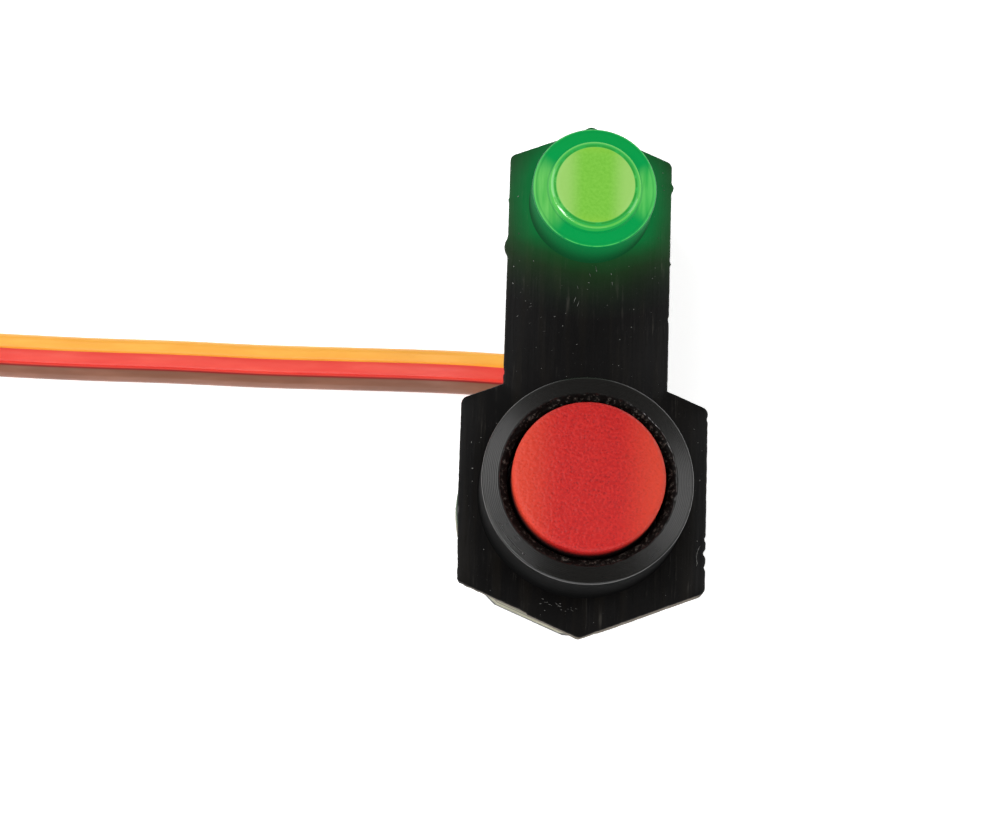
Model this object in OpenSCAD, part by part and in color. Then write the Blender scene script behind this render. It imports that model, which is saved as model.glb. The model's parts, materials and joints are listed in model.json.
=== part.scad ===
// Push-button control with a lit indicator, on a flat three-wire lead.
// It lies on its rear cover. Z points out of the front plate, Y from the button to the lamp,
// and the origin is where the button's axis meets the surface it lies on.

/* [Front plate] */
// Width of the six-sided end across its two long flats
hex_w = 19; // [18.8:0.1:24]
// Length of each long flat, centred on the button
hex_flat = 14.4; // [12:0.1:17]
// Distance from the button's axis to each point of the six-sided end
hex_point = 11.1; // [10:0.1:14]
// Width of the bar that carries the lamp
bar_w = 12.7; // [12:0.1:17]
// Distance from the lamp's axis to the bar's upper corners
bar_corner = 3.7; // [2.8:0.1:5]
// Distance from the lamp's axis to the bar's point
bar_point = 6.3; // [5.6:0.1:8]
// Thickness of the plate
plate_t = 1.6; // [1.2:0.1:2.4]
// Radius of the plate's outer corners
corner_r = 0.6; // [0.3:0.1:1.2]

/* [Housing] */
// Setback of the skirt behind the plate's edge
skirt_inset = 0.6; // [0.4:0.1:0.9]
// Wall of the skirt and of the rear cover's rim
wall = 0.7; // [0.6:0.05:0.9]
// Floor of the rear cover
cover_t = 1; // [0.8:0.1:1.5]
// Air over the switch, under the plate
switch_air = 1; // [0.8:0.1:2]

/* [Button] */
// Diameter of the cap
cap_d = 11.5; // [9.6:0.1:14]
// Rise of the cap above the collar's edge
cap_rise = 1.7; // [0.4:0.1:2.5]
// Wall of the cap's skirt
cap_wall = 1.1; // [0.8:0.1:1.4]
// Thickness of the cap's top
cap_top_t = 1.3; // [1:0.1:1.8]
// Height of the dome on the cap's top
cap_dome = 0.35; // [0.1:0.05:0.6]
// Running gap between the cap and the collar
cap_gap = 0.3; // [0.15:0.05:0.4]
// Wall of the collar around the cap
collar_wall = 1.9; // [1.2:0.1:2.4]
// Height of the collar above the plate
collar_h = 4.9; // [4:0.1:6.5]
// Travel of the button
travel = 0.3; // [0.2:0.05:0.4]

/* [Switch] */
// Side of the switch's square base
switch_w = 12; // [11.5:0.1:12.1]
// Height of the switch's base
base_h = 3.2; // [3:0.1:4]
// Thickness of its steel cover
steel_t = 0.3; // [0.2:0.05:0.4]
// Diameter of the plunger's stem
stem_d = 6.9; // [6:0.1:7.2]
// Side of the plunger's square head
head_w = 3.8; // [3:0.1:4.2]
// Height of the plunger's head above the board
head_z = 7.3; // [6.6:0.1:8]

/* [Lamp] */
// Distance from the button's axis to the lamp's axis
lamp_y = 23.2; // [22.8:0.1:30]
// Diameter of the lens
lens_d = 9.55; // [8:0.05:11]
// Height of the lens's shoulder above the plate
lens_h = 4.1; // [3.5:0.1:5]
// Diameter of the step on the lens
step_d = 7; // [6:0.1:7.6]
// Height of the step above the shoulder
step_h = 0.9; // [0.6:0.1:1.5]
// Diameter of the lens's sleeve, which passes through the plate
sleeve_d = 6.2; // [6:0.1:7.4]
// Length of the sleeve behind the plate
sleeve_tail = 2.3; // [1.8:0.1:2.5]
// Diameter of the light-emitting diode
led_d = 5; // [4.6:0.1:5.2]
// Height of the diode's body
led_h = 8.6; // [8:0.1:8.8]

/* [Board] */
// Thickness of the circuit board
board_t = 1.6; // [1:0.1:2]
// Room between the rear cover's floor and the board
under_board = 1.3; // [1.25:0.05:2]
// Distance of each screw from the centre line
screw_x = 3.9; // [3.6:0.1:4.4]
// Thread diameter of the screws
screw_d = 1.6; // [1.4:0.1:2]

/* [Lead] */
// Width of the flat lead
lead_w = 3.5; // [3.2:0.1:3.6]
// Thickness of the flat lead
lead_t = 1.15; // [1:0.05:1.2]
// Width of the plug
plug_w = 7.6; // [7.5:0.1:8]
// Thickness of the plug
plug_t = 2.5; // [2.4:0.1:3]
// Length of the plug
plug_l = 14; // [12:0.5:15]
// Pitch of the plug's contacts
pitch = 2.54; // [2.5:0.01:2.6]

/* [Hidden] */

$fn = 96;
eps = 0.02;          // overlap of shapes that are joined or cut
fit = 0.03;          // clearance between pieces that are pressed or moulded together
slip = 0.1;          // clearance of a piece that is dropped into its hole

// Heights, from the surface the control lies on
board_z = cover_t + under_board;
board_top = board_z + board_t;
switch_top = board_top + base_h + steel_t;
plate_back = switch_top + switch_air;
plate_front = plate_back + plate_t;
collar_top = plate_front + collar_h;
cap_top = collar_top + cap_rise;
lens_shoulder = plate_front + lens_h;
lens_top = lens_shoulder + step_h;

// Button
cap_r = cap_d / 2;
bore_r = cap_r + cap_gap;
collar_r = bore_r + collar_wall;
collar_edge = 0.15;  // bevel on the collar's outer edge
collar_crown = 0.25; // rise of the collar's face towards the button
lip_w = 0.6;         // band beside the bore that falls back into it
cap_edge = 0.5;      // radius round the cap's top edge
boss_wall = 1.2;     // wall of the cap's socket
socket_depth = 2.2;  // how far the plunger's head reaches into the socket

// Switch
corner_cut = 0.4;    // bevel on the switch's corners
stud_at = switch_w / 2 - 1.1; // place of the rivet studs
stud_r = 0.7;
stud_rise = 0.3;     // rivet head above the steel cover
stud_reach = norm([stud_at, stud_at]) - stud_r;
cavity_r = 4.2;
cavity_floor = board_top + 1.5;
flange_r = 3.9;      // flange that keeps the plunger in
flange_t = 0.7;
dome_r = 3.7;
dome_rise = 0.45;
dome_t = 0.12;
leg_x = switch_w / 2 + 0.25;
leg_y = 2.5;
leg_w = 0.9;
leg_t = 0.3;
leg_z = board_top + 1.2;
leg_foot = board_z - 0.9;
pad_r = 0.9;

// Foot of the cap, clear of what it comes down on, rivet heads included where it reaches them
cap_foot = switch_top + travel + 0.2 + (bore_r > stud_reach ? stud_rise : 0);

// Skirt, sized to hold the switch: a round end with two flats along the plate's lower edges
hex_slope = atan((hex_point - hex_flat / 2) / (hex_w / 2));
skirt_r = norm([switch_w / 2, switch_w / 2 - corner_cut]) + 0.3 + wall;
skirt_flat = (switch_w / 2 - corner_cut) * sin(hex_slope) + switch_w / 2 * cos(hex_slope) + 0.3 + wall;
board_r = skirt_r + 0.1;
board_flat = skirt_flat + 0.25;
cover_r = skirt_r - 0.2;
cover_flat = skirt_flat - 0.15;
board_inset = skirt_inset - 0.1;
bar_slope = atan((bar_point - bar_corner) / (bar_w / 2));

// Lamp
lens_edge = 0.2;
step_edge = 0.5;
sleeve_r = sleeve_d / 2;
led_r = led_d / 2;
led_flange = 0.4;
led_flange_t = 1;
led_z = board_top + 0.9;
led_top = led_z + led_h;
lead_pitch = 2.54;   // spacing of the diode's leads
lead_side = 0.5;     // the leads are square wire
cup_r = 0.9;
cup_z = led_z + 4.2;
chip_side = 0.35;
retainer_r = sleeve_r + 1;
retainer_t = 1.2;

// Lead: where it leaves the bar, and where its cores are soldered
lead_y = 11.4;
lead_z = cover_t + lead_t / 2 + 0.05;
core_x = 1;
core_r = 0.25;
core_pitch = lead_w / 3;
strip_x = -1.5;      // end of the insulation

// Screws and their bosses, beside the lead, and the chips between them
chip_y = lead_y + lead_w / 2 + 1.2;
chip_step = 1.6;
screw_boss_r = screw_d / 2 + 1;
screw_y = lead_y + lead_w / 2 + screw_boss_r + 0.6;
screw_tip = board_top + 3.4;
screw_head_r = screw_d;
screw_head_h = screw_d / 2;

// Route of the lead up to its coil: x, y, z and the turn of its flat side in degrees
ribbon_route = [
    [-1.5, 11.4, 1.63, 0], [-5.5, 11.4, 1.63, 0], [-9, 11.5, 1.5, 0], [-13, 11.6, 1.05, 0],
    [-18, 11.6, 0.7, 0], [-25, 11.5, 0.6, 0], [-32, 11.5, 0.6, 0], [-39, 11.4, 0.6, 0],
    [-46, 11.4, 0.65, 0], [-50, 11.4, 1.15, 20], [-54, 11.4, 1.6, 42], [-58, 11.4, 1.85, 65],
    [-62, 11.4, 1.83, 82], [-67, 11.4, 1.76, 90]
];
coil_centre = [-67, -7.6];
coil_r = 19;         // radius of the outer turn
coil_step = 1.5;     // how much closer each turn lies
coil_turns = 2;
coil_z = lead_w / 2; // height of the middle of the turns
coil_inner = coil_r - coil_step * coil_turns;
tail_r = 7.5;        // the tail curves in to the plug on this radius
plug_x = coil_centre[0] - tail_r;
plug_y = coil_centre[1] + coil_inner - tail_r - 1.5;
tail_steps = 8;
plug_wall = 0.5;
cell_w = 1.5;        // room for one contact
contact_w = 1.4;
socket_w = 0.8;      // hole for a square pin
plug_nose = 1;       // front wall of the plug

// Rounds each corner of an outline
function corner_arc(a, b, c, r) =
    let(
        u = (a - b) / norm(a - b),
        v = (c - b) / norm(c - b),
        half = acos(u * v) / 2,
        centre = b + (u + v) / norm(u + v) * r / sin(half),
        from = atan2((b + u * r / tan(half) - centre)[1], (b + u * r / tan(half) - centre)[0]),
        turn = 180 - 2 * half
    )
    [for (i = [0:5]) centre + r * [cos(from + turn * i / 5), sin(from + turn * i / 5)]];

function rounded(points, r) =
    let(n = len(points))
    [for (i = [0:n - 1]) each corner_arc(points[(i + n - 1) % n], points[i], points[(i + 1) % n], r)];

// Six-sided end, drawn anticlockwise
function hex_outline() = [
    [0, -hex_point], [hex_w / 2, -hex_flat / 2], [hex_w / 2, hex_flat / 2],
    [0, hex_point], [-hex_w / 2, hex_flat / 2], [-hex_w / 2, -hex_flat / 2]
];

// Bar from the button to beyond the lamp, its sides moved in by inset
function bar_outline(inset) =
    let(
        x = bar_w / 2 - inset,
        point = lamp_y + bar_point - inset / cos(bar_slope),
        corner = point - x * tan(bar_slope)
    )
    [[-x, 0], [x, 0], [x, corner], [0, point], [-x, corner]];

module housing_outline(r, flat, inset) {
    far = r + 1;
    point = -flat / cos(hex_slope);
    side = point + far * tan(hex_slope);
    intersection() {
        circle(r);
        polygon([[0, point], [far, side], [far, far], [-far, far], [-far, side]]);
    }
    polygon(bar_outline(inset));
}

module at_screws() {
    for (x = [-screw_x, screw_x]) translate([x, screw_y, 0]) children();
}

module front_body() {
    color([0.1, 0.1, 0.11])
    difference() {
        union() {
            translate([0, 0, plate_back]) linear_extrude(plate_t) {
                polygon(rounded(hex_outline(), corner_r));
                polygon(rounded(bar_outline(0), corner_r));
            }
            collar();
            difference() {
                translate([0, 0, board_top])
                    linear_extrude(plate_back - board_top + eps) housing_outline(skirt_r, skirt_flat, skirt_inset);
                translate([0, 0, board_top - eps]) linear_extrude(plate_back - board_top + eps)
                    housing_outline(skirt_r - wall, skirt_flat - wall, skirt_inset + wall);
            }
            at_screws() translate([0, 0, board_top])
                cylinder(r = screw_boss_r, h = plate_back - board_top + eps);
        }
        translate([0, 0, plate_back - eps]) cylinder(r = bore_r, h = plate_t + 2 * eps);
        translate([0, lamp_y, plate_back - eps]) cylinder(r = sleeve_r + fit, h = plate_t + 2 * eps);
        translate([0, lamp_y, plate_back - retainer_t - slip])
            cylinder(r = retainer_r + slip, h = retainer_t + slip);
        at_screws() translate([0, 0, board_top - eps])
            cylinder(r = screw_d / 2 + fit, h = screw_tip - board_top + 0.3);
    }
}

// Turned collar round the button
module collar() {
    rotate_extrude() polygon([
        [bore_r, plate_front - eps], [collar_r, plate_front - eps],
        [collar_r, collar_top - collar_edge], [collar_r - collar_edge, collar_top],
        [bore_r + lip_w, collar_top + collar_crown], [bore_r, collar_top - collar_crown]
    ]);
}

module rear_cover() {
    color([0.1, 0.1, 0.11])
    difference() {
        union() {
            linear_extrude(cover_t) housing_outline(cover_r, cover_flat, skirt_inset);
            difference() {
                linear_extrude(board_z) housing_outline(cover_r, cover_flat, skirt_inset);
                translate([0, 0, -eps]) linear_extrude(board_z + 2 * eps)
                    housing_outline(cover_r - wall, cover_flat - wall, skirt_inset + wall);
            }
            at_screws() cylinder(r = screw_boss_r, h = board_z);
        }
        translate([-bar_w, lead_y - lead_w / 2 - slip, cover_t]) cube([bar_w, lead_w + 2 * slip, board_z]);
        at_screws() {
            translate([0, 0, -eps]) cylinder(r = screw_d / 2 + slip, h = board_z + 2 * eps);
            screw_sink(slip);
        }
    }
}

// Countersink of one screw, and with no clearance its head
module screw_sink(clear) {
    translate([0, 0, -eps]) cylinder(
        r1 = screw_head_r + clear + eps, r2 = screw_d / 2 + clear, h = screw_head_h + eps);
}

module circuit_board() {
    color([0.07, 0.3, 0.16])
    difference() {
        translate([0, 0, board_z]) linear_extrude(board_t) housing_outline(board_r, board_flat, board_inset);
        at_screws() board_hole(screw_d / 2 + slip);
        for (x = [-leg_x, leg_x], y = [-leg_y, leg_y]) translate([x, y, 0]) board_hole(leg_w / 2 + slip);
        for (x = [-1, 1]) translate([x * lead_pitch / 2, lamp_y, 0]) board_hole(lead_side / 2 + 0.2);
        for (i = [-1:1]) translate([core_x, lead_y + i * core_pitch, 0]) board_hole(core_r + slip);
    }
}

module board_hole(r) {
    translate([0, 0, board_z - eps]) cylinder(r = r, h = board_t + 2 * eps);
}

module cover_screws() {
    color([0.72, 0.73, 0.75])
    at_screws() difference() {
        union() {
            cylinder(r1 = screw_head_r, r2 = screw_d / 2, h = screw_head_h);
            cylinder(r = screw_d / 2, h = screw_tip);
        }
        for (a = [0, 90]) rotate(a) translate([-screw_d * 0.55, -0.15, -eps])
            cube([screw_d * 1.1, 0.3, 0.5]);
    }
}

// Cap with a gently domed top, a skirt and a square socket for the plunger
module button_cap() {
    ring_r = cap_r - cap_edge;
    dome_foot = cap_top - cap_dome;
    color([0.82, 0.12, 0.1]) {
        difference() {
            rotate_extrude() polygon(concat(
                [[0, cap_foot], [cap_r, cap_foot]],
                [for (a = [0:15:90]) [ring_r + cap_edge * cos(a), dome_foot - cap_edge * (1 - sin(a))]],
                [for (k = [1:6]) [ring_r * (1 - k / 6), dome_foot + cap_dome * (1 - pow(1 - k / 6, 2))]]
            ));
            difference() {
                translate([0, 0, cap_foot - eps]) cylinder(
                    r = cap_r - cap_wall, h = dome_foot - cap_top_t - cap_foot + eps);
                cylinder(r = head_w / sqrt(2) + boss_wall, h = cap_top);
            }
            translate([0, 0, cap_foot - eps]) cylinder(
                r = cap_r - cap_wall, h = board_top + head_z - socket_depth - cap_foot);
            translate([-head_w / 2 - fit, -head_w / 2 - fit, cap_foot - eps])
                cube([head_w + 2 * fit, head_w + 2 * fit, board_top + head_z + fit - cap_foot + eps]);
        }
    }
}

module switch_plunger() {
    flange_top = board_top + base_h - 0.05;
    nib_foot = cavity_floor + dome_rise + dome_t + 2 * fit;
    color([0.13, 0.13, 0.14]) {
        translate([0, 0, nib_foot]) cylinder(r = 1, h = flange_top - flange_t - nib_foot + eps);
        translate([0, 0, flange_top - flange_t]) cylinder(r = flange_r, h = flange_t);
        translate([0, 0, flange_top - eps]) cylinder(
            r = stem_d / 2, h = board_top + head_z - socket_depth - 0.1 - flange_top);
        translate([-head_w / 2, -head_w / 2, flange_top - eps])
            cube([head_w, head_w, board_top + head_z - flange_top + eps]);
    }
}

module switch_cover() {
    color([0.72, 0.73, 0.75])
    difference() {
        translate([0, 0, board_top + base_h]) linear_extrude(steel_t) switch_square(0.1);
        translate([0, 0, board_top]) cylinder(r = stem_d / 2 + 0.15, h = base_h + 2 * steel_t);
        at_studs(board_top + base_h - eps) cylinder(r = stud_r + fit, h = steel_t + 2 * eps);
    }
}

// Square with bevelled corners, its sides moved in by inset
module switch_square(inset) {
    s = switch_w / 2 - inset;
    c = s - corner_cut;
    polygon([[-c, -s], [c, -s], [s, -c], [s, c], [c, s], [-c, s], [-s, c], [-s, -c]]);
}

module at_studs(z) {
    for (x = [-stud_at, stud_at], y = [-stud_at, stud_at]) translate([x, y, z]) children();
}

module switch_base() {
    color([0.1, 0.1, 0.1])
    difference() {
        union() {
            translate([0, 0, board_top]) linear_extrude(base_h) switch_square(0);
            at_studs(board_top + base_h - eps) cylinder(r = stud_r, h = steel_t + stud_rise + eps);
        }
        translate([0, 0, cavity_floor]) cylinder(r = cavity_r, h = base_h);
        for (side = [-1, 1]) terminal(side);
    }
}

// One terminal: two legs, the strip that joins them and its pad on the cavity's floor
module terminal(side) {
    for (y = [-leg_y, leg_y]) {
        translate([side * leg_x - leg_t / 2, y - leg_w / 2, leg_foot])
            cube([leg_t, leg_w, leg_z + leg_t - leg_foot]);
        translate([min(side * leg_x, side * (dome_r - 0.5)), y - leg_w / 2, leg_z])
            cube([leg_x - dome_r + 0.5, leg_w, leg_t]);
    }
    translate([side * (dome_r - 0.5) - leg_w / 2, -leg_y - leg_w / 2, leg_z])
        cube([leg_w, 2 * leg_y + leg_w, leg_t]);
    if (side > 0) {
        translate([0, -leg_w / 2, leg_z]) cube([dome_r - 0.5, leg_w, leg_t]);
        translate([0, 0, leg_z]) cylinder(r = pad_r, h = leg_t);
    }
}

module switch_terminals() {
    color([0.8, 0.78, 0.7]) for (side = [-1, 1]) terminal(side);
}

// Snap dome: a thin pressed disc that arches over the middle pad
module contact_dome() {
    outer = [for (k = [0:8]) [dome_r * k / 8, dome_rise * (1 - pow(k / 8, 2)) + dome_t]];
    inner = [for (k = [8:-1:0]) [dome_r * k / 8, dome_rise * (1 - pow(k / 8, 2))]];
    color([0.8, 0.8, 0.82]) translate([0, 0, cavity_floor + fit])
        rotate_extrude() polygon(concat(outer, inner));
}

module led_lens() {
    bore = led_r + slip;
    color([0.1, 0.75, 0.3, 0.6])
    translate([0, lamp_y, 0]) rotate_extrude() polygon(concat(
        [[0, lens_top]],
        [for (a = [90:-10:0]) [bore * cos(a), led_top - led_r + bore * sin(a)]],
        [[bore, plate_back - sleeve_tail], [sleeve_r, plate_back - sleeve_tail],
         [sleeve_r, plate_front], [lens_d / 2, plate_front],
         [lens_d / 2, lens_shoulder - lens_edge], [lens_d / 2 - lens_edge, lens_shoulder],
         [step_d / 2, lens_shoulder], [step_d / 2, lens_top - step_edge / 2],
         [step_d / 2 - step_edge, lens_top]]
    ));
}

// Push-on ring that holds the lens from behind
module lens_retainer() {
    color([0.16, 0.16, 0.17])
    translate([0, lamp_y, plate_back - retainer_t]) difference() {
        cylinder(r = retainer_r, h = retainer_t);
        translate([0, 0, -eps]) cylinder(r = sleeve_r + fit, h = retainer_t + 2 * eps);
    }
}

module led_body() {
    color([0.75, 0.95, 0.75, 0.5])
    difference() {
        translate([0, lamp_y, 0]) rotate_extrude() polygon(concat(
            [[0, led_z], [led_r + led_flange, led_z], [led_r + led_flange, led_z + led_flange_t],
             [led_r, led_z + led_flange_t]],
            [for (a = [0:10:90]) [led_r * cos(a), led_top - led_r + led_r * sin(a)]]
        ));
        led_cathode();
        led_anode();
        led_chip();
    }
}

module led_lead(side, top) {
    translate([side * lead_pitch / 2 - lead_side / 2, lamp_y - lead_side / 2, leg_foot])
        cube([lead_side, lead_side, top - leg_foot]);
}

// Wider lead, with the cup that holds the chip
module led_cathode() {
    color([0.8, 0.8, 0.82])
    difference() {
        union() {
            led_lead(-1, cup_z);
            translate([-lead_pitch / 2 - lead_side / 2, lamp_y - lead_side / 2, cup_z - 1])
                cube([lead_pitch / 2 + lead_side / 2, lead_side, 1]);
            translate([0, lamp_y, cup_z - 0.8]) cylinder(r = cup_r, h = 0.8);
        }
        translate([0, lamp_y, cup_z - 0.4]) cylinder(r1 = 0.4, r2 = 0.7, h = 0.4 + eps);
    }
}

module led_anode() {
    color([0.8, 0.8, 0.82]) led_lead(1, cup_z);
}

module led_chip() {
    color([0.9, 0.85, 0.3]) translate([-chip_side / 2, lamp_y - chip_side / 2, cup_z - 0.4])
        cube([chip_side, chip_side, 0.25]);
}

module chip(x, y, long, wide, high) {
    translate([x - long / 2, y - wide / 2, board_top]) cube([long, wide, high]);
}

module chip_resistors() {
    color([0.1, 0.1, 0.12]) for (i = [0, 1]) chip(0, chip_y + i * chip_step, 1.6, 0.8, 0.45);
}

module chip_capacitor() {
    color([0.62, 0.5, 0.36]) chip(0, chip_y + 2 * chip_step, 1.6, 0.8, 0.8);
}

// Fillet of solder round a lead, on the board's back or on its top
module fillet(x, y, r, on_top) {
    translate([x, y, on_top ? board_top : board_z])
        mirror([0, 0, on_top ? 0 : 1]) cylinder(r1 = r, r2 = r * 0.55, h = 0.6);
}

module solder_joints() {
    color([0.75, 0.76, 0.78])
    difference() {
        union() {
            for (x = [-leg_x, leg_x], y = [-leg_y, leg_y]) fillet(x, y, 0.95, false);
            for (x = [-1, 1]) fillet(x * lead_pitch / 2, lamp_y, 0.8, false);
            for (i = [-1:1]) fillet(core_x, lead_y + i * core_pitch, 0.5, true);
        }
        for (side = [-1, 1]) terminal(side);
        led_lead(-1, cup_z);
        led_lead(1, cup_z);
        wire_cores();
    }
}

// Bare strands of the three conductors, turned up through the board
module wire_cores() {
    color([0.8, 0.5, 0.3])
    for (i = [-1:1]) translate([0, lead_y + i * core_pitch, 0]) {
        translate([strip_x, 0, lead_z]) rotate([0, 90, 0]) cylinder(r = core_r, h = core_x - strip_x);
        translate([core_x, 0, lead_z]) sphere(r = core_r);
        translate([core_x, 0, lead_z]) cylinder(r = core_r, h = board_top + 0.5 - lead_z);
    }
}

// Eight-sided flat section swept along a route; each point holds its place and its turn
function section_ring(p, along) =
    let(
        side = [-along[1], along[0], 0] / norm([along[0], along[1]]),
        wide = side * cos(p[3]) + [0, 0, 1] * sin(p[3]),
        thick = [0, 0, 1] * cos(p[3]) - side * sin(p[3])
    )
    [for (q = [[1, 0.4], [0.82, 1], [-0.82, 1], [-1, 0.4], [-1, -0.4], [-0.82, -1], [0.82, -1], [1, -0.4]])
        [p[0], p[1], p[2]] + wide * q[0] * lead_w / 2 + thick * q[1] * lead_t / 2];

module flat_tube(route) {
    n = len(route);
    rings = [for (i = [0:n - 1]) section_ring(route[i], route[min(i + 1, n - 1)] - route[max(i - 1, 0)])];
    sides = [for (i = [0:n - 2], k = [0:7])
        [i * 8 + k, i * 8 + (k + 1) % 8, (i + 1) * 8 + (k + 1) % 8, (i + 1) * 8 + k]];
    ends = [[for (k = [7:-1:0]) k], [for (k = [0:7]) (n - 1) * 8 + k]];
    polyhedron([for (ring = rings) each ring], concat(sides, ends));
}

module lead_ribbon() {
    color([0.9, 0.3, 0.2]) flat_tube(ribbon_route);
}

// Outer shape of the coiled length, which stands on its edge
module lead_coil() {
    color([0.9, 0.3, 0.2])
    translate([coil_centre[0], coil_centre[1], coil_z - lead_w / 2]) difference() {
        cylinder(r = coil_r + lead_t / 2 + slip, h = lead_w);
        translate([0, 0, -eps]) cylinder(r = coil_inner - lead_t / 2 - slip, h = lead_w + 2 * eps);
    }
}

function tail_route() = concat(
    [for (i = [0:tail_steps])
        let(a = 90 + 90 * i / tail_steps, turn = 90 * (1 - i / tail_steps))
        [coil_centre[0] + tail_r * cos(a), coil_centre[1] + coil_inner - tail_r + tail_r * sin(a),
         coil_z * sin(turn) + plug_t / 2 * cos(turn), turn]],
    [[plug_x, plug_y, plug_t / 2, 0]]
);

module lead_tail() {
    color([0.9, 0.3, 0.2]) flat_tube(tail_route());
}

module plug_housing() {
    color([0.08, 0.08, 0.08])
    translate([plug_x, plug_y, 0]) difference() {
        translate([-plug_w / 2, -plug_l, 0]) cube([plug_w, plug_l, plug_t]);
        for (i = [-1:1]) translate([i * pitch, 0, plug_t / 2]) {
            translate([-cell_w / 2, plug_nose - plug_l, -cell_w / 2]) cube([cell_w, plug_l, cell_w]);
            translate([-socket_w / 2, -plug_l - eps, -socket_w / 2]) cube([socket_w, plug_l, socket_w]);
            translate([-cell_w / 2, -plug_l * 0.55, 0]) cube([cell_w, 2.4, plug_t]);
        }
    }
}

// Three crimped contacts, each a square sleeve with a crimp behind it
module plug_contacts() {
    sleeve_l = 6;
    color([0.85, 0.72, 0.4])
    for (i = [-1:1]) translate([plug_x + i * pitch, plug_y - plug_l + plug_nose + fit, plug_t / 2]) {
        difference() {
            translate([-contact_w / 2, 0, -contact_w / 2]) cube([contact_w, sleeve_l, contact_w]);
            translate([-socket_w / 2, -eps, -socket_w / 2]) cube([socket_w, sleeve_l - 0.5, socket_w]);
        }
        translate([-0.5, sleeve_l - eps, -0.5]) cube([1, 3.5, 1]);
    }
}

front_body();
rear_cover();
circuit_board();
cover_screws();
button_cap();
switch_plunger();
switch_cover();
switch_base();
switch_terminals();
contact_dome();
led_lens();
lens_retainer();
led_body();
led_cathode();
led_anode();
led_chip();
chip_resistors();
chip_capacitor();
solder_joints();
wire_cores();
lead_ribbon();
lead_coil();
lead_tail();
plug_housing();
plug_contacts();
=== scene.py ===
import json
import math

import bmesh
import bpy
from mathutils import Matrix, Quaternion, Vector, noise


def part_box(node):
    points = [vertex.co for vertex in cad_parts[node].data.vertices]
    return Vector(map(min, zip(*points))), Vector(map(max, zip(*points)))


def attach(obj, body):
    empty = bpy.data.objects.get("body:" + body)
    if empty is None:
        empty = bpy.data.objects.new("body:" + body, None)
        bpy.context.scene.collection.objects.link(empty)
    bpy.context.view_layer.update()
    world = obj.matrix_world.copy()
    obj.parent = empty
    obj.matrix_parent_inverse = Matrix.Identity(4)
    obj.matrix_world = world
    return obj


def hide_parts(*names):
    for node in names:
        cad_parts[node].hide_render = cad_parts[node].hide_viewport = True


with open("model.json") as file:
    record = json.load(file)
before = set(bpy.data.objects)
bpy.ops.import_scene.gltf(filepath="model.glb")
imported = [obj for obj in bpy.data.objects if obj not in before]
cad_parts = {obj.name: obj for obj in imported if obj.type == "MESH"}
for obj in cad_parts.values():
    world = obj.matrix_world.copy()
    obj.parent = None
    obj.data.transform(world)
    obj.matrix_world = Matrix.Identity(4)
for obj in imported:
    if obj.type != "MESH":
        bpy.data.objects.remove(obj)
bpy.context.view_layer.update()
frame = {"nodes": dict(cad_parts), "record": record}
mm = 0.001
nodes = frame["nodes"]
mounts = {mount["name"]: mount for mount in frame["record"]["mounts"]}

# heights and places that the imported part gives
plateFront = mounts["panel_seat"]["pos_m"][2]
collarRadius = mounts["button_collar"]["dims"]["r_mm"] * mm
lensRadius = mounts["lens_collar"]["dims"]["r_mm"] * mm
lampY = mounts["lens_collar"]["pos_m"][1]
boardLow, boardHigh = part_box("circuit_board")
coverLow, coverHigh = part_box("rear_cover")
capLow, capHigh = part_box("button_cap")
lensLow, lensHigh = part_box("led_lens")
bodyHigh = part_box("front_body")[1]
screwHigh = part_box("cover_screws")[1]
print("frame loaded:", len(nodes), "nodes")

view = {
    "azimuth": -11.21,
    "elevation": 75.01,
    "roll": 1.92,  # turn of the picture, in degrees
    "distance": 0.26,
    "aim": (-0.006708, 0.006029),  # looked-at point of the front plate
    "lens": 123.33,
}


def makeCamera():
    azimuth, elevation, roll = (math.radians(view[key]) for key in ("azimuth", "elevation", "roll"))
    flat = math.cos(elevation)
    back = Vector((math.sin(azimuth) * flat, -math.cos(azimuth) * flat, math.sin(elevation)))
    side = Vector((0, 1, 0)).cross(back).normalized()
    rise = back.cross(side)
    side = side * math.cos(roll) + rise * math.sin(roll)
    data = bpy.data.cameras.new("camera")
    data.lens, data.sensor_width = view["lens"], 36
    data.clip_start, data.clip_end = 0.005, 20
    camera = bpy.data.objects.new("camera", data)
    turn = Matrix((side, back.cross(side), back)).transposed().to_4x4()
    aim = Vector((*view["aim"], plateFront))
    camera.matrix_world = Matrix.Translation(aim + back * view["distance"]) @ turn
    bpy.context.scene.collection.objects.link(camera)
    bpy.context.scene.camera = camera


makeCamera()
print("camera placed")


def tint(red, green, blue):
    # a display colour, 0 to 255, as the shader wants it
    def linear(c):
        c /= 255
        return c / 12.92 if c <= 0.04045 else ((c + 0.055) / 1.055) ** 2.4

    return (linear(red), linear(green), linear(blue), 1)


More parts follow.
